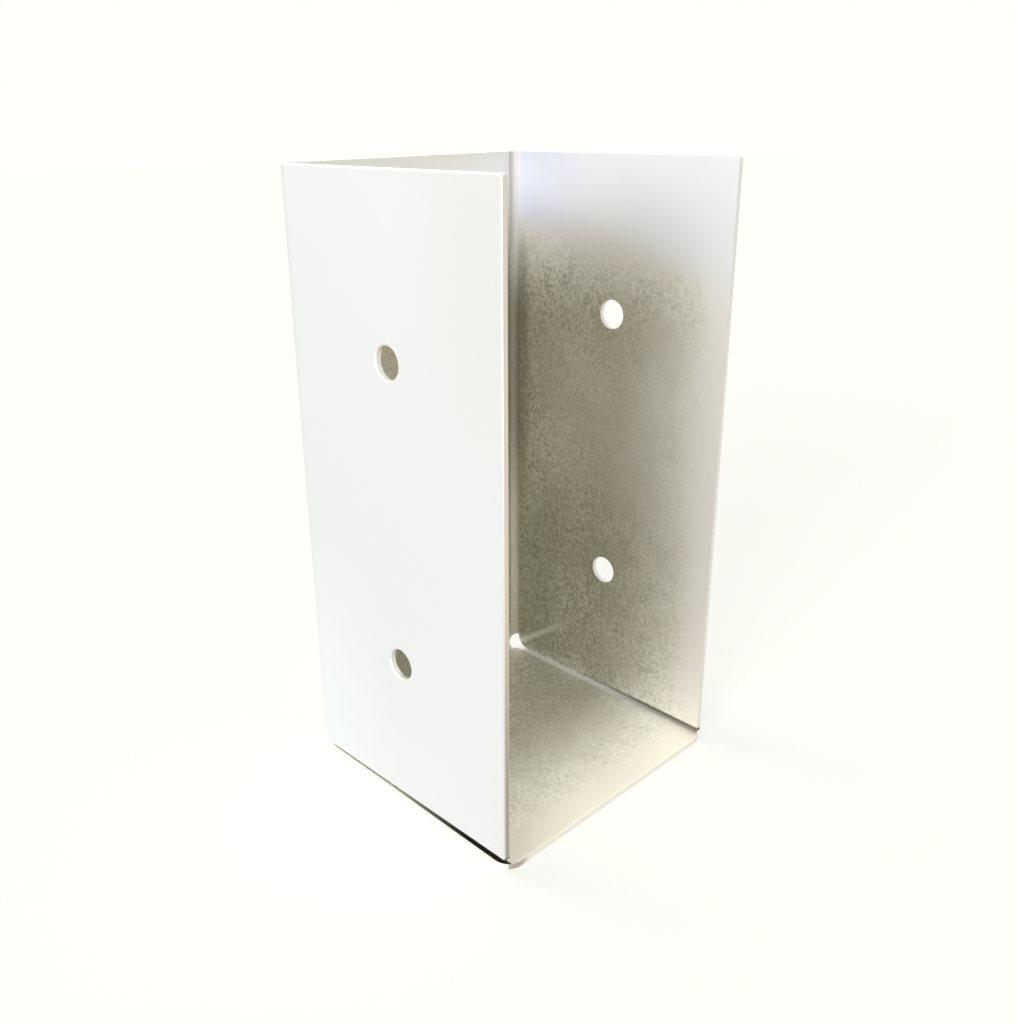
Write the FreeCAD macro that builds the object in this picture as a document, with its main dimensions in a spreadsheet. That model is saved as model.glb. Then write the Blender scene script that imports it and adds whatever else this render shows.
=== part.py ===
import FreeCAD, Part
import os
import Sketcher

# Timber post base: one zinc-coated steel sheet, punched and folded into an upright three-sided box.
#
# An outside block gets the outside radius of the three bends and is hollowed to the sheet's thickness,
# with its top and front open. The flanges are then trimmed clear of the bottom plate and punched with
# their screw holes, and the two back lower corners are opened by their bend reliefs and rounded. Last, the
# corners are rounded and the walls' rims get the small bevel that shears and punches leave outside.
#
# Frame: +Z is up, along the post. -Y is the open front and +Y the web. The origin is the centre of the
# footprint, on the underside of the bottom plate. All sizes are in millimetres.

NODE = "post_base"

DIMENSIONS = [
    # alias, value, meaning
    ("post_clearance", 72.0, "clear width between the flanges, for a 70 mm post"),
    ("pocket_depth", 69.5, "inner face of the web to the front edge of the flanges"),
    ("overall_height", 150.0, "underside of the plate to the top of the walls"),
    ("sheet_thickness", 1.5, "thickness of the sheet"),
    ("bend_radius", 2.0, "inside radius of the three bends"),
    ("plate_nose", 1.0, "how far the plate stands out in front of the flanges"),
    ("plate_corner", 4.0, "radius of the plate's front corners"),
    ("flange_corner", 0.6, "radius of the flanges' upper front corners"),
    ("gap_at_back", 0.4, "gap between a flange and the plate, at the relief"),
    ("left_gap_at_front", 1.7, "the same gap at the front edge of the left flange"),
    ("right_gap_at_front", 0.7, "the same gap at the front edge of the right flange"),
    ("relief_radius", 4.0, "bend relief in each back lower corner, round the gap's end"),
    ("relief_rounding", 3.4, "radius of the flange's and the plate's corners at the relief"),
    ("hole_diameter", 7.5, "screw holes in the flanges"),
    ("lower_hole_height", 39.0, "centre of the lower holes above the underside"),
    ("hole_pitch", 72.0, "distance between the two holes of a flange"),
    ("hole_setback", 35.0, "inner face of the web to the centres of the holes"),
    ("rim_bevel", 0.3, "bevel of the sheared and punched rims on the outer side"),
]

# Sizes that follow from the driving ones, as expressions on the spreadsheet.
THICKNESS = "sizes.sheet_thickness"
HEIGHT = "sizes.overall_height"
WIDTH = "(sizes.post_clearance + 2 * sizes.sheet_thickness)"
DEPTH = "(sizes.pocket_depth + sizes.sheet_thickness + sizes.plate_nose)"
OUTER_RADIUS = "(sizes.bend_radius + sizes.sheet_thickness)"
FLANGE_FRONT = f"({DEPTH} / 2 - sizes.plate_nose)"
BEND_START = f"({DEPTH} / 2 - {OUTER_RADIUS})"
WEB_INNER_FACE = f"({DEPTH} / 2 - sizes.sheet_thickness)"

RUN_PAST = 5.0  # how far a cutting profile runs past the sheet
GAP_AT_MOST = 1.0  # the gap between a flange and the plate is smaller than this at the reliefs
NEAR = 1e-4  # places closer than this are the same place
POINTS_ON_AN_EDGE = 5  # how many points of an edge are looked at when edges are chosen

doc = FreeCAD.newDocument("timber_post_base")


def make_sizes():
    """Puts the driving dimensions in a spreadsheet: values in column A, their meaning in column B."""
    sheet = doc.addObject("Spreadsheet::Sheet", "sizes")
    for row, (alias, value, meaning) in enumerate(DIMENSIONS, start=1):
        sheet.set(f"A{row}", str(value))
        sheet.setAlias(f"A{row}", alias)
        sheet.set(f"B{row}", meaning)
    doc.recompute()
    return sheet


def origin_plane(role):
    """One of the body's own origin planes, by its role."""
    return next(item for item in body.Origin.OriginFeatures if item.Role == role)


def new_sketch(name, role):
    """An empty sketch on one of the body's own origin planes."""
    sketch = body.newObject("Sketcher::SketchObject", name)
    sketch.AttachmentSupport = (origin_plane(role), [""])
    sketch.MapMode = "FlatFace"
    return sketch


def drive(sketch, name, expression, kind, *places):
    """Adds a named dimension to a sketch and binds it to the spreadsheet."""
    value = body.evalExpression(expression)
    index = sketch.addConstraint(Sketcher.Constraint(kind, *places, float(value)))
    sketch.renameConstraint(index, name)
    sketch.setExpression(f"Constraints.{name}", expression)


def add_outline(sketch, corners):
    """Draws a closed outline of straight lines. The corners are only where the lines start out from:
    the sketch's own dimensions then set their places."""
    count = len(corners)
    for line in range(count):
        start = FreeCAD.Vector(*corners[line], 0)
        end = FreeCAD.Vector(*corners[(line + 1) % count], 0)
        sketch.addGeometry(Part.LineSegment(start, end))
    for line in range(count):
        sketch.addConstraint(Sketcher.Constraint("Coincident", line, 2, (line + 1) % count, 1))


def add_circle(sketch, centre, radius):
    """Draws a circle and gives back its number in the sketch."""
    up = FreeCAD.Vector(0, 0, 1)
    return sketch.addGeometry(Part.Circle(FreeCAD.Vector(*centre, 0), up, radius))


def edges_where(feature, chosen):
    """Names of the feature's edges for which chosen(points on the edge) is true."""
    names = []
    for number, edge in enumerate(feature.Shape.Edges, start=1):
        points = edge.discretize(POINTS_ON_AN_EDGE)
        if chosen(points):
            names.append(f"Edge{number}")
    return names


def all_at(points, axis, place):
    """True if every point has this coordinate (axis 0, 1, 2 for X, Y, Z) at place."""
    return all(abs(point[axis] - place) < NEAR for point in points)


def round_edges(name, base, chosen, radius):
    """Fillets the chosen edges of a feature, with the radius bound to the spreadsheet."""
    fillet = body.newObject("PartDesign::Fillet", name)
    fillet.Base = (base, edges_where(base, chosen))
    fillet.setExpression("Radius", radius)
    doc.recompute()
    return fillet


def bevel_edges(name, base, chosen, size):
    """Bevels the chosen edges of a feature, with the size bound to the spreadsheet."""
    bevel = body.newObject("PartDesign::Chamfer", name)
    bevel.Base = (base, edges_where(base, chosen))
    bevel.setExpression("Size", size)
    doc.recompute()
    return bevel


def make_block():
    """The outside form before folding radii: a block on the footprint."""
    sketch = new_sketch("footprint", "XY_Plane")
    add_outline(sketch, [(-30, -30), (30, -30), (30, 30), (-30, 30)])
    for line, direction in enumerate(("Horizontal", "Vertical", "Horizontal", "Vertical")):
        sketch.addConstraint(Sketcher.Constraint(direction, line))
    sketch.addConstraint(Sketcher.Constraint("Symmetric", 0, 1, 2, 1, -1, 1))
    drive(sketch, "width", WIDTH, "DistanceX", 0, 1, 0, 2)
    drive(sketch, "depth", DEPTH, "DistanceY", 1, 1, 1, 2)
    pad = body.newObject("PartDesign::Pad", "block")
    pad.Profile = sketch
    pad.setExpression("Length", HEIGHT)
    doc.recompute()
    return pad


def make_hollow(base):
    """Leaves the sheet's thickness all round, with the top and the front open."""
    open_faces = []
    for number, face in enumerate(base.Shape.Faces, start=1):
        centre = face.CenterOfMass
        if abs(centre.z - height) < NEAR or abs(centre.y + depth / 2) < NEAR:
            open_faces.append(f"Face{number}")
    hollow = body.newObject("PartDesign::Thickness", "hollow")
    hollow.Base = (base, open_faces)
    hollow.setExpression("Value", THICKNESS)
    hollow.Reversed = True
    doc.recompute()
    return hollow


def cut(name, sketch, length):
    """Cuts a profile into the sheet, against the sketch's own normal."""
    pocket = body.newObject("PartDesign::Pocket", name)
    pocket.Profile = sketch
    pocket.setExpression("Length", length)
    doc.recompute()
    return pocket


def cut_flange_trim(side, outward_end, front_gap):
    """Sets a flange's front edge back from the plate and opens the tapered gap under it."""
    sketch = new_sketch(f"{side}_flange_outline", "YZ_Plane")
    sketch.setExpression("AttachmentOffset.Base.z", outward_end)
    add_outline(sketch, [(-41, 1.5), (34, 1.5), (34, 2), (-35, 3), (-35, 155), (-41, 155)])
    for line in (0, 4):
        sketch.addConstraint(Sketcher.Constraint("Horizontal", line))
    for line in (1, 3, 5):
        sketch.addConstraint(Sketcher.Constraint("Vertical", line))
    drive(sketch, "plate_top", THICKNESS, "DistanceY", -1, 1, 0, 1)
    drive(sketch, "slit_end", f"{BEND_START} + {OUTER_RADIUS} / 2", "DistanceX", -1, 1, 0, 2)
    drive(sketch, "gap_at_back", "sizes.gap_at_back", "DistanceY", 1, 1, 1, 2)
    drive(sketch, "gap_at_front", front_gap, "DistanceY", 0, 1, 2, 2)
    drive(sketch, "flange_front", FLANGE_FRONT, "DistanceX", 3, 1, -1, 1)
    drive(sketch, "over_the_top", f"{HEIGHT} + {RUN_PAST}", "DistanceY", -1, 1, 4, 1)
    drive(sketch, "past_the_front", f"{DEPTH} / 2 + {RUN_PAST}", "DistanceX", 0, 1, -1, 1)
    return cut(f"{side}_flange_trim", sketch, OUTER_RADIUS)


def cut_reliefs():
    """Opens both back lower corners from behind, as deep as the bends reach."""
    sketch = new_sketch("relief_circles", "XZ_Plane")
    sketch.setExpression("AttachmentOffset.Base.z", f"-{BEND_START}")
    left = add_circle(sketch, (-37, 2), 4)
    right = add_circle(sketch, (37, 2), 4)
    sketch.addConstraint(Sketcher.Constraint("Symmetric", left, 3, right, 3, -2))
    sketch.addConstraint(Sketcher.Constraint("Equal", left, right))
    drive(sketch, "width", WIDTH, "DistanceX", left, 3, right, 3)
    drive(sketch, "height", f"{THICKNESS} + sizes.gap_at_back", "DistanceY", -1, 1, left, 3)
    drive(sketch, "radius", "sizes.relief_radius", "Radius", left)
    return cut("bend_reliefs", sketch, f"{OUTER_RADIUS} + {RUN_PAST}")


def cut_screw_holes():
    """Punches the two holes of each flange, in line with those of the other flange."""
    sketch = new_sketch("hole_circles", "YZ_Plane")
    sketch.setExpression("AttachmentOffset.Base.x", WEB_INNER_FACE)
    lower = add_circle(sketch, (-35, 40), 3)
    upper = add_circle(sketch, (-35, 110), 3)
    sketch.addConstraint(Sketcher.Constraint("Vertical", lower, 3, upper, 3))
    sketch.addConstraint(Sketcher.Constraint("Equal", lower, upper))
    drive(sketch, "setback", "sizes.hole_setback", "DistanceX", lower, 3, -1, 1)
    drive(sketch, "lower_height", "sizes.lower_hole_height", "DistanceY", -1, 1, lower, 3)
    drive(sketch, "pitch", "sizes.hole_pitch", "DistanceY", lower, 3, upper, 3)
    drive(sketch, "diameter", "sizes.hole_diameter", "Diameter", lower)
    pocket = cut("screw_holes", sketch, f"{WIDTH} + 2 * {RUN_PAST}")
    pocket.Midplane = True
    doc.recompute()
    return pocket


def is_back_bend(points):
    """The two upright edges and the lower edge of the block's back face."""
    at_back = all_at(points, 1, depth / 2)
    at_top = all_at(points, 2, height)
    return at_back and not at_top


def is_plate_corner(points):
    """The short upright edges of the bottom plate's front corners."""
    at_front = all_at(points, 1, -depth / 2)
    at_side = all_at(points, 0, width / 2) or all_at(points, 0, -width / 2)
    return at_front and at_side


def is_relief_corner(points):
    """The flanges' and the plate's sharp corners, where the reliefs cut them off at the bends' start."""
    at_cut = all_at(points, 1, depth / 2 - outer_radius)
    level = all_at(points, 2, points[0].z)
    of_flange = level and thickness + NEAR < points[0].z < thickness + GAP_AT_MOST
    at_side = all_at(points, 0, width / 2) or all_at(points, 0, -width / 2)
    of_plate = at_side and all(point.z < thickness + NEAR for point in points)
    return at_cut and (of_flange or of_plate)


def is_flange_corner(points):
    """The edges through the thickness at the top of each flange's front edge."""
    return all_at(points, 1, flange_front) and all_at(points, 2, height)


def is_outer_rim(points):
    """The walls' top and front rims and the punched rims of the holes, on the outer side of the sheet."""
    on_top = all_at(points, 2, height) and all(is_outside(point) for point in points)
    on_flange = all_at(points, 0, width / 2) or all_at(points, 0, -width / 2)
    upright_rim = all_at(points, 1, flange_front)
    on_hole = abs(points[0].y - points[-1].y) < NEAR and abs(points[1].y - points[2].y) > NEAR
    upper_corner = all(point.z > height - flange_corner - NEAR for point in points)
    return on_top or (on_flange and (upright_rim or on_hole or upper_corner))


def is_outside(point):
    """True on the outer outline of the walls as seen from above."""
    bend_x = width / 2 - outer_radius
    bend_y = depth / 2 - outer_radius
    past_x = abs(point.x) - bend_x
    past_y = point.y - bend_y
    if past_x > NEAR and past_y > NEAR:
        return abs((past_x ** 2 + past_y ** 2) ** 0.5 - outer_radius) < NEAR
    return abs(past_x - outer_radius) < NEAR or abs(past_y - outer_radius) < NEAR


def stop_if_failed(steps):
    """Stops the build on a failed object, on a cut that took nothing off, and on a bad shape."""
    for item in doc.Objects:
        if "Invalid" in item.State or "Error" in item.State:
            raise RuntimeError(f"{item.Label} failed: {item.State}")
    for before, after in zip(steps, steps[1:]):
        if after.Shape.Volume > before.Shape.Volume - NEAR:
            raise RuntimeError(f"{after.Label} took nothing off")
    shape = body.Shape
    if shape.isNull() or not shape.isValid() or len(shape.Solids) != 1:
        raise RuntimeError(f"{body.Label} is not one valid solid")


sizes = make_sizes()
body = doc.addObject("PartDesign::Body", "folded_sheet")
body.Label = NODE
body.Placement = FreeCAD.Placement()

# The same sizes as plain numbers, for choosing edges and faces.
thickness = sizes.sheet_thickness
height = sizes.overall_height
width = body.evalExpression(WIDTH)
depth = body.evalExpression(DEPTH)
outer_radius = body.evalExpression(OUTER_RADIUS)
flange_front = -body.evalExpression(FLANGE_FRONT)
flange_corner = sizes.flange_corner

block = make_block()
bends = round_edges("bends", block, is_back_bend, OUTER_RADIUS)
hollow = make_hollow(bends)
left_trim = cut_flange_trim("left", f"{OUTER_RADIUS} - {WIDTH} / 2", "sizes.left_gap_at_front")
right_trim = cut_flange_trim("right", f"{WIDTH} / 2", "sizes.right_gap_at_front")
holes = cut_screw_holes()
reliefs = cut_reliefs()
relief_corners = round_edges("relief_corners", reliefs, is_relief_corner, "sizes.relief_rounding")
plate_corners = round_edges("plate_corners", relief_corners, is_plate_corner, "sizes.plate_corner")
flange_corners = round_edges("flange_corners", plate_corners, is_flange_corner, "sizes.flange_corner")
rims = bevel_edges("outer_rims", flange_corners, is_outer_rim, "sizes.rim_bevel")

cuts = [bends, hollow, left_trim, right_trim, holes, reliefs]
stop_if_failed([block, *cuts, relief_corners, plate_corners, flange_corners, rims])

os.makedirs("parts", exist_ok=True)
body.Shape.exportStep(f"parts/{NODE}.step")
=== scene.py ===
import math
from types import SimpleNamespace

import bpy
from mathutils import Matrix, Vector


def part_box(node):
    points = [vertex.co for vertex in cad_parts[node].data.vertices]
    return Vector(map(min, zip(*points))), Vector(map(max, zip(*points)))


# Timber post base: one folded sheet of zinc-coated steel, seen from its open front corner. The CAD node
# keeps its shape. This script gives it its zinc finish, a pale floor, soft light and a camera.
# Everything is in metres, in the frame of the CAD: +Z up along the post, -Y the open front, +Y the web.

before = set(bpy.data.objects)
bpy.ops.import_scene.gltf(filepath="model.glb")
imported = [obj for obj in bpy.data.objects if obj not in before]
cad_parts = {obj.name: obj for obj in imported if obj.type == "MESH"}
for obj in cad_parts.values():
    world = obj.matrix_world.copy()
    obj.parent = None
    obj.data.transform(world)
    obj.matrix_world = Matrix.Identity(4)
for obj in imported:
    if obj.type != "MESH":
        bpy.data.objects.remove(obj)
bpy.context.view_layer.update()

NODE = "post_base"
MM = 0.001

# Dimensions of the part
SHEET = 1.5 * MM  # thickness of the sheet
BEND_INSIDE = 2.0 * MM  # inside radius of the bends
BEND_OUTSIDE = BEND_INSIDE + SHEET
PLATE_NOSE = 1.0 * MM  # how far the plate stands in front of the flanges
LEFT_GAP = 1.7 * MM  # under the left flange, at the front

box_low, box_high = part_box(NODE)
SIDE = box_high[0]  # outer face of the flanges, measured from the middle
FRONT = box_low[1]  # front edge of the plate
FLANGE_FRONT = FRONT + PLATE_NOSE
BACK = box_high[1]  # outer face of the web
TOP = box_high[2]
PLATE_TOP = box_low[2] + SHEET
WALLS_START = PLATE_TOP + 0.2 * MM
BEND_AXIS_X = SIDE - BEND_OUTSIDE  # axes of the upright bends, left and right of the middle
BEND_AXIS_Y = BACK - BEND_OUTSIDE  # axes of all three bends, measured from the middle
BEND_AXIS_Z = box_low[2] + BEND_OUTSIDE  # axis of the lower bend

# Edges of masks, each as the place where a mask starts and the place where it is full
INNER_SIDE = (0.7, 0.3)  # depths in the sheet
OUTER_SIDE = (0.3, 0.7)
NOT_INNER_SIDE = (0.04, 0.1)
NOT_OUTER_SIDE = (0.98, 0.92)
RIGHT_HALF = (0.0, SIDE)  # places along x
LEFT_FLANGE = (-30 * MM, -34 * MM)
WEB = (BEND_AXIS_Y - 1 * MM, BEND_AXIS_Y + 1.5 * MM)  # places along y
FOLD = (0.0, 0.4 * MM)  # how far into an inner fold
SHADE_DEPTHS = (0.97, 0.9)  # depths in the sheet that take the painted shade in the slits: all but its outer side

# Sizes of the coat's mottling
GRAIN_SIZE = 1.1 * MM
PATCH_SIZE = 6.0 * MM
TINT_SIZE = 16.0 * MM
RELIEF = 0.06 * MM  # how much the grain stands up
RELIEF_STRENGTH = 0.6

# Roughness of the coat
SATIN = 0.58
SHINING = 0.47  # on the paler crystals
FOLD_DULLING = 0.2  # added in the inner folds

RIM_TILT = -0.16  # how much the plain band along the top rim drops towards the front
STREAK_SLOPE = 0.72  # how steeply the painted reflection streak rises from the back lower corner

WHITE_STUDIO = "#FFFFFB"
AMBIENT = 0.3  # how strongly the studio lights the matt floor
FLOOR_GLOW = 0.8  # share of the floor that is plain white: the rest takes the object's shadow
FLOOR_REACH = 3.0  # from the middle of the floor to its sides

MIX_SHARE, MIX_FIRST, MIX_SECOND = 0, 6, 7  # inputs of a Mix node that blends colours


def linear(hex_colour):
    """An sRGB hex colour as the linear RGBA that the shaders take."""
    channels = [int(hex_colour[i:i + 2], 16) / 255 for i in (1, 3, 5)]
    return [c / 12.92 if c <= 0.04045 else ((c + 0.055) / 1.055) ** 2.4 for c in channels] + [1.0]


def add(tree, kind, inputs=None, **settings):
    """Adds a shader node with its settings. An input takes a value, a socket, or a node's first
    output."""
    node = tree.nodes.new("ShaderNode" + kind)
    for name, value in settings.items():
        setattr(node, name, value)
    for name, value in (inputs or {}).items():
        if isinstance(value, bpy.types.Node):
            value = next(socket for socket in value.outputs if socket.enabled)
        if isinstance(value, bpy.types.NodeSocket):
            tree.links.new(value, node.inputs[name])
        else:
            node.inputs[name].default_value = value
    return node


def new_surface(name):
    """An empty node tree in a new material."""
    material = bpy.data.materials.new(name)
    material.use_nodes = True
    material.node_tree.nodes.clear()
    return material, material.node_tree


def layer(tree, first, *above):
    """Lays colours over each other. Each one above the first comes with the mask of where it shows and,
    where it shows only in part, with the share of it that shows."""
    below = linear(first) if isinstance(first, str) else first
    for mask, colour, *share in above:
        if share:
            mask = add(tree, "Math", {0: mask, 1: share[0]}, operation="MULTIPLY")
        colour = linear(colour) if isinstance(colour, str) else colour
        inputs = {MIX_SHARE: mask, MIX_FIRST: below, MIX_SECOND: colour}
        below = add(tree, "Mix", inputs, data_type="RGBA")
    return below


def zone(tree, *edges):
    """A mask of the places that lie past every edge. An edge is a coordinate, where the mask starts and
    where it is full."""
    mask = None
    for coordinate, start, full in edges:
        inputs = {"Value": coordinate, "From Min": start, "From Max": full}
        step = add(tree, "MapRange", inputs, interpolation_type="SMOOTHSTEP")
        mask = step if mask is None else add(tree, "Math", {0: mask, 1: step}, operation="MULTIPLY")
    return mask


def places_on_sheet(tree, place):
    """Where a point lies: its x, y and z, how deep it is in the sheet's thickness, from 0 on the inner
    side to 1 on the outer side, how far it is into an inner fold, and its height as the rims' plain band
    counts it, which drops towards the front."""
    x, y, z = add(tree, "SeparateXYZ", {"Vector": place}).outputs
    side = add(tree, "Math", {0: x}, operation="ABSOLUTE")
    in_wall = add(tree, "Math", {0: z, 1: WALLS_START}, operation="GREATER_THAN")
    in_plate = add(tree, "Math", {0: 1.0, 1: in_wall}, operation="SUBTRACT")
    past_x = add(tree, "Math", {0: side, 1: BEND_AXIS_X}, operation="SUBTRACT")
    past_x = add(tree, "Math", {0: past_x, 1: in_wall}, operation="MULTIPLY")
    past_y = add(tree, "Math", {0: y, 1: BEND_AXIS_Y}, operation="SUBTRACT")
    past_z = add(tree, "Math", {0: BEND_AXIS_Z, 1: z}, operation="SUBTRACT")
    in_web = add(tree, "Math", {0: past_x, 1: 0.0}, operation="LESS_THAN")
    counts = add(tree, "Math", {0: in_web, 1: in_plate}, operation="MAXIMUM")
    past_z = add(tree, "Math", {0: past_z, 1: counts}, operation="MULTIPLY")
    ahead = [add(tree, "Math", {0: past, 1: 0.0}, operation="MAXIMUM")
             for past in (past_x, past_y, past_z)]
    across = add(tree, "CombineXYZ", dict(enumerate(ahead)))
    radius = add(tree, "VectorMath", {0: across}, operation="LENGTH").outputs["Value"]
    beyond = add(tree, "Math", {0: radius, 1: BEND_INSIDE}, operation="SUBTRACT")
    depth = add(tree, "Math", {0: beyond, 1: SHEET}, operation="DIVIDE")
    upright_fold = add(tree, "Math", {0: ahead[0], 1: ahead[1]}, operation="MINIMUM")
    lower_fold = add(tree, "Math", {0: ahead[1], 1: ahead[2]}, operation="MINIMUM")
    fold = add(tree, "Math", {0: upright_fold, 1: lower_fold}, operation="MAXIMUM")
    drop = add(tree, "Math", {0: y, 1: RIM_TILT, 2: z}, operation="MULTIPLY_ADD")
    return SimpleNamespace(x=x, y=y, z=z, depth=depth, fold=fold, drop=drop)


def make_mottling(tree, place):
    """The crystals of the coat: a fine grain, larger patches, and a slow drift of its tint."""
    grain = add(tree, "TexNoise",
                {"Vector": place, "Scale": 1 / GRAIN_SIZE, "Detail": 4.0, "Roughness": 0.75})
    cloud = add(tree, "TexNoise",
                {"Vector": place, "Scale": 1 / PATCH_SIZE, "Detail": 5.0, "Roughness": 0.6})
    drift = add(tree, "TexNoise", {"Vector": place, "Scale": 1 / TINT_SIZE, "Detail": 3.0})
    crystals = add(tree, "MapRange", {"Value": grain, "From Min": 0.4, "From Max": 0.6})
    patches = add(tree, "MapRange", {"Value": cloud, "From Min": 0.37, "From Max": 0.63})
    tint = add(tree, "MapRange",
               {"Value": drift, "From Min": 0.42, "From Max": 0.58, "To Max": 0.3})
    return SimpleNamespace(grain=grain, crystals=crystals, patches=patches, tint=tint)


def plain_zinc(tree, at):
    """The inner side near its open rims, free of mottling, with painted reflection tints: slightly warm
    along the front, greyer at the top, and slightly blue at the top beside the creases."""
    near_front = zone(tree, (at.y, FRONT + 24 * MM, FRONT + 6 * MM))
    near_top = zone(tree, (at.drop, TOP - 30 * MM, TOP - 14 * MM))
    by_crease = zone(tree, (at.drop, TOP - 32 * MM, TOP - 18 * MM), (at.y, 0.0, BEND_AXIS_Y),
                     (at.y, BEND_AXIS_Y + 1.5 * MM, BEND_AXIS_Y))
    # Painted reflection tints: warm along the front, grey and blue at the top.
    return layer(tree, "#D4CCBC", (near_front, "#D9D3C8"), (near_top, "#D6D5D2"),
                 (by_crease, "#C7C9D2"))


def mottled_zinc(tree, at, mottling):
    """The mottled rest of the inner side: darker and paler patches, each with its own grain. It is a
    little lighter at mid height, with a painted warm reflection tint towards the front and a band of
    painted pale, cooler light just under the top rim."""
    darker = layer(tree, "#B2B2A3", (mottling.crystals, "#FFFDF3"))
    paler = layer(tree, "#D3D1C2", (mottling.crystals, "#FFFEF5"))
    middle = zone(tree, (at.z, 45 * MM, 75 * MM), (at.z, TOP - 34 * MM, TOP - 60 * MM),
                  (at.y, BEND_AXIS_Y - 2 * MM, 16 * MM))
    # Painted reflection: a warm tint towards the front.
    front = zone(tree, (at.y, 16 * MM, -16 * MM), (at.z, TOP, TOP - 40 * MM),
                 (at.z, PLATE_TOP, 30 * MM))
    # Painted light: a paler, cooler band just under the top rim.
    rim_light_band = zone(tree, (at.drop, TOP - 36 * MM, TOP - 25 * MM), (at.y, -20 * MM, 10 * MM))
    return layer(tree, darker, (mottling.patches, paler), (mottling.tint, "#D6CFC2"),
                 (middle, "#FFFFF8", 0.4), (front, "#C3B290", 0.22), (rim_light_band, "#E0DCDC", 0.4))


def inner_zinc(tree, at, mottling, mottled, in_fold):
    """The inner side as a whole: painted shade beside the right-hand crease and low at the back, plain
    in the folds with painted shade at their top, painted shade down the web and on its left half,
    painted light on the plate, a painted reflection along one faint streak, and a painted light line
    at the foot of the right flange."""
    # Painted shade: greenish grey beside the right-hand crease and low at the back of the right flange.
    by_crease = zone(tree, (at.y, BEND_AXIS_Y - 5 * MM, BEND_AXIS_Y - 1.5 * MM), (at.x, *RIGHT_HALF),
                     (at.z, TOP - 14 * MM, TOP - 30 * MM))
    low_at_back = zone(tree, (at.y, 6 * MM, 26 * MM), (at.x, *RIGHT_HALF), (at.z, 75 * MM, 45 * MM),
                       (at.z, PLATE_TOP, 6 * MM))
    crease_and_back_shade = add(tree, "Math", {0: by_crease, 1: low_at_back}, operation="MAXIMUM")
    # Painted shade: darker at the top of the inner folds.
    fold_top_shade = zone(tree, (at.fold, *FOLD), (at.z, TOP - 34 * MM, TOP - 20 * MM),
                    (at.depth, *INNER_SIDE))
    # Painted shade: darker down the middle of the web and on its left half.
    web_middle_shade = zone(tree, (at.y, BEND_AXIS_Y - 0.5 * MM, BEND_AXIS_Y + 0.5 * MM),
                      (at.z, TOP - 12 * MM, TOP - 40 * MM), (at.z, 40 * MM, 85 * MM))
    web_left_shade = zone(tree, (at.x, 24 * MM, 4 * MM), (at.y, BEND_AXIS_Y, BEND_AXIS_Y + 1.5 * MM),
                    (at.z, 85 * MM, 40 * MM))
    # Painted light: the plate paler, least so at its front edge.
    plate_light = zone(tree, (at.z, PLATE_TOP + 0.3 * MM, PLATE_TOP),
                    (at.y, FRONT - 12 * MM, FRONT + 28 * MM))
    # Painted reflection: a faint pale streak rising up the right flange from the back lower corner.
    rise = add(tree, "Math", {0: at.y, 1: STREAK_SLOPE, 2: at.z}, operation="MULTIPLY_ADD")
    rise = add(tree, "Math", {0: rise, 1: STREAK_SLOPE * BEND_AXIS_Y + 3 * MM}, operation="SUBTRACT")
    off_streak = add(tree, "Math", {0: rise}, operation="ABSOLUTE")
    streak = zone(tree, (off_streak, 1.8 * MM, 0.2 * MM), (at.y, 10 * MM, 20 * MM),
                  (at.x, *RIGHT_HALF), (at.depth, *INNER_SIDE))
    # Painted light: a white line on the plate along the foot of the right flange.
    seam_light = zone(tree, (at.x, SIDE - 3.3 * MM, SIDE - 2.7 * MM),
                       (at.z, PLATE_TOP + 0.1 * MM, PLATE_TOP), (at.y, FRONT, 0.0))
    return layer(tree, plain_zinc(tree, at), (mottled, mottled_zinc(tree, at, mottling)),
                 (crease_and_back_shade, "#939686", 0.5), (zone(tree, (at.y, *WEB)), "#E6DFD2", 0.5),
                 (in_fold, "#DDD9CE"), (fold_top_shade, "#BDB9B3"), (web_middle_shade, "#958E7B", 0.75),
                 (web_left_shade, "#65614F", 0.6), (plate_light, "#F6F5EC", 0.3), (streak, "#FFFFF4", 0.7),
                 (seam_light, "#FFFFFF"))


def outer_zinc(tree, at):
    """The outer side: smooth and even, with painted reflection tints: a little lighter low at the back
    and warmer high at the front."""
    # Painted reflection tints: lighter low at the back, warmer high at the front.
    low_back = zone(tree, (at.z, 70 * MM, 20 * MM), (at.y, 0.0, BEND_AXIS_Y))
    high_front = zone(tree, (at.z, 70 * MM, TOP), (at.y, 0.0, FRONT))
    return layer(tree, "#D8D8D6", (low_back, "#DCDDDC"), (high_front, "#D4D1CB"))


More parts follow.
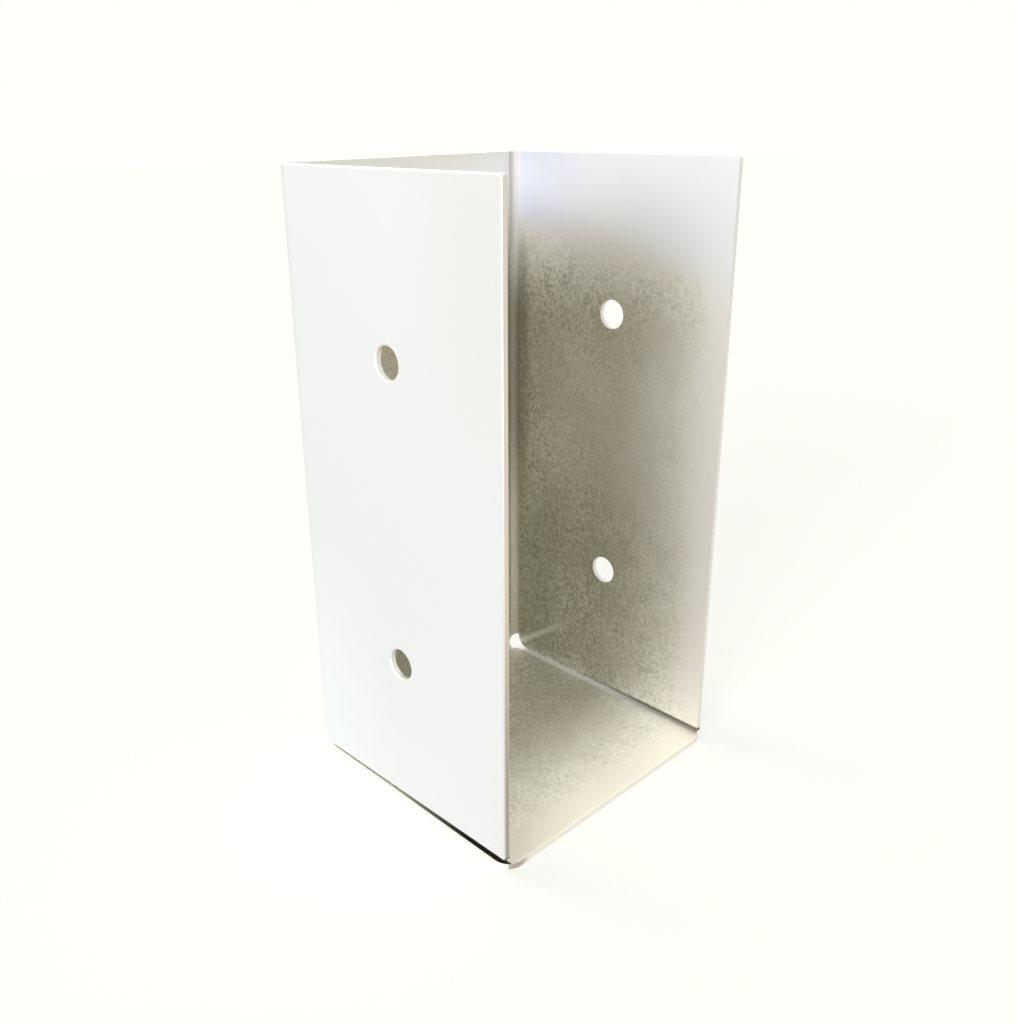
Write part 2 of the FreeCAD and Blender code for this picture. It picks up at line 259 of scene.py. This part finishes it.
def with_edges_and_shade(tree, at, coat):
    """The coat with what lies on its edges: the warmer cut edges, and painted shade in the slit under
    the left flange and at the foot of the right one, growing towards the front."""
    cut_edge = zone(tree, (at.depth, *NOT_INNER_SIDE), (at.depth, *NOT_OUTER_SIDE))
    plate_end = zone(tree, (at.y, FRONT + 0.3 * MM, FRONT + 0.1 * MM))
    left_arris = zone(tree, (at.x, *LEFT_FLANGE),
                      (at.y, FLANGE_FRONT + 0.35 * MM, FLANGE_FRONT + 0.28 * MM),
                      (at.depth, 0.75, 0.8))
    left_end = zone(tree, (at.x, *LEFT_FLANGE),
                    (at.y, FLANGE_FRONT + 0.15 * MM, FLANGE_FRONT + 0.05 * MM),
                    (at.depth, *NOT_INNER_SIDE))
    low = zone(tree, (at.z, 80 * MM, 20 * MM))
    end_colour = layer(tree, "#E0D6C8", (low, "#B4AB9D"))
    # Painted shade: dark in the slit under the left flange, growing towards the front.
    slit_shade = zone(tree, (at.x, 1.9 * MM - SIDE, 1.6 * MM - SIDE),
                      (at.z, PLATE_TOP - 0.15 * MM, PLATE_TOP - 0.05 * MM),
                      (at.z, PLATE_TOP + LEFT_GAP + 0.5 * MM, PLATE_TOP + LEFT_GAP),
                      (at.depth, *SHADE_DEPTHS), (at.y, 8 * MM, -24 * MM))
    # Painted shade: dark at the foot of the right flange, growing towards the front.
    foot_shade = zone(tree, (at.x, SIDE - 1.7 * MM, SIDE - SHEET),
                      (at.z, PLATE_TOP + 0.1 * MM, PLATE_TOP + 0.3 * MM),
                      (at.z, PLATE_TOP + 1.9 * MM, PLATE_TOP + 1.3 * MM),
                      (at.depth, *SHADE_DEPTHS), (at.y, 8 * MM, -20 * MM))
    return layer(tree, coat, (cut_edge, "#E2E0DA"), (plate_end, "#ECE8DD"), (left_arris, "#CAC7C2"),
                 (left_end, end_colour), (slit_shade, "#3B352C"), (foot_shade, "#6E6654"))


def make_zinc():
    """Hot-dip zinc on cold-formed steel sheet. To the eye it is a pale satin metal, even on the outer
    side. The inner side is finely mottled in warm and greenish greys, with paler crystals that shine a
    little more, and the mottling fades out towards the open rims."""
    material, tree = new_surface("hot_dip_zinc_on_steel")
    place = add(tree, "TexCoord").outputs["Object"]
    at = places_on_sheet(tree, place)
    mottling = make_mottling(tree, place)
    mottled = zone(tree, (at.drop, TOP - 20 * MM, TOP - 31 * MM),
                   (at.y, FRONT + 3 * MM, FRONT + 16 * MM), (at.depth, *INNER_SIDE))
    in_fold = zone(tree, (at.fold, *FOLD), (at.depth, *INNER_SIDE))
    inner = inner_zinc(tree, at, mottling, mottled, in_fold)
    outer = zone(tree, (at.depth, *OUTER_SIDE))
    coat = layer(tree, inner, (outer, outer_zinc(tree, at)))

    shining = add(tree, "Math", {0: mottling.crystals, 1: mottled}, operation="MULTIPLY")
    roughness = add(tree, "MapRange", {"Value": shining, "To Min": SATIN, "To Max": SHINING})
    roughness = add(tree, "Math", {0: in_fold, 1: FOLD_DULLING, 2: roughness}, operation="MULTIPLY_ADD")
    height = add(tree, "Math", {0: mottling.grain, 1: mottled}, operation="MULTIPLY")
    bump = add(tree, "Bump", {"Height": height, "Strength": RELIEF_STRENGTH, "Distance": RELIEF})
    surface = add(tree, "BsdfPrincipled",
                  {"Base Color": with_edges_and_shade(tree, at, coat), "Metallic": 1.0,
                   "Roughness": roughness, "Normal": bump})
    add(tree, "OutputMaterial", {"Surface": surface})
    return material


def seen_directly(tree):
    """A mask of the rays by which a white studio is seen or mirrored, not of those that light a matt
    surface."""
    ray = add(tree, "LightPath").outputs
    seen = add(tree, "Math", {0: ray["Is Camera Ray"], 1: ray["Is Glossy Ray"]}, operation="MAXIMUM")
    return add(tree, "Math", {0: seen, 1: ray["Is Transmission Ray"]}, operation="MAXIMUM")


def make_world():
    """A white studio all round, softer as a light than it looks."""
    world = bpy.data.worlds.new("white_studio")
    bpy.context.scene.world = world
    world.use_nodes = True
    tree = world.node_tree
    tree.nodes.clear()
    strength = add(tree, "MapRange", {"Value": seen_directly(tree), "To Min": AMBIENT, "To Max": 1.0})
    background = add(tree, "Background", {"Color": linear(WHITE_STUDIO), "Strength": strength})
    add(tree, "OutputWorld", {"Surface": background})


def make_lamp(name, comes_from, strength, spread, colour):
    """A soft, even studio lamp that shines on the whole floor from one direction."""
    data = bpy.data.lights.new(name, "SUN")
    data.energy = strength
    data.angle = math.radians(spread)
    data.color = linear(colour)[:3]
    lamp = bpy.data.objects.new(name, data)
    lamp.rotation_euler = Vector(comes_from).to_track_quat("Z", "Y").to_euler()
    lamp.location = comes_from
    bpy.context.scene.collection.objects.link(lamp)


def make_floor():
    """A pale painted floor, wide enough to run out of sight. Most of it is plain white, and its matt
    share takes the object's shadow."""
    mesh = bpy.data.meshes.new("floor")
    corners = [(FLOOR_REACH * i, FLOOR_REACH * j, 0) for i, j in ((-1, -1), (1, -1), (1, 1), (-1, 1))]
    mesh.from_pydata(corners, [], [(0, 1, 2, 3)])
    floor = bpy.data.objects.new("floor", mesh)
    bpy.context.scene.collection.objects.link(floor)
    material, tree = new_surface("pale_painted_floor")
    matt = add(tree, "BsdfDiffuse", {"Color": linear("#D8D8C6")})
    glow = add(tree, "Emission", {"Color": linear(WHITE_STUDIO), "Strength": 1.0})
    share = add(tree, "Math", {0: seen_directly(tree), 1: FLOOR_GLOW}, operation="MULTIPLY")
    surface = add(tree, "MixShader", {0: share, 1: matt, 2: glow})
    add(tree, "OutputMaterial", {"Surface": surface})
    mesh.materials.append(material)


def make_camera():
    """The camera looks down on the open front corner from the left."""
    data = bpy.data.cameras.new("camera")
    data.lens = 35.2
    data.sensor_width = 36.0
    data.shift_x = 0.0274
    data.shift_y = -0.0179
    data.clip_start = 0.01
    data.clip_end = 20.0
    camera = bpy.data.objects.new("camera", data)
    camera.location = (-0.16406, -0.16313, 0.16001)
    camera.rotation_euler = [math.radians(angle) for angle in (69.094, 0.737, -43.581)]
    bpy.context.scene.collection.objects.link(camera)
    bpy.context.scene.camera = camera


make_world()
make_floor()
make_lamp("window_light", (-1.0, -0.27, 0.32), strength=5.3, spread=28, colour="#ECF3FF")
make_lamp("ceiling_light", (-0.05, 0.37, 1.0), strength=2.5, spread=15, colour="#FFFFFF")
make_camera()

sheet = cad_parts[NODE]
sheet.data.materials[0] = make_zinc()

bpy.context.scene.view_settings.view_transform = "Standard"
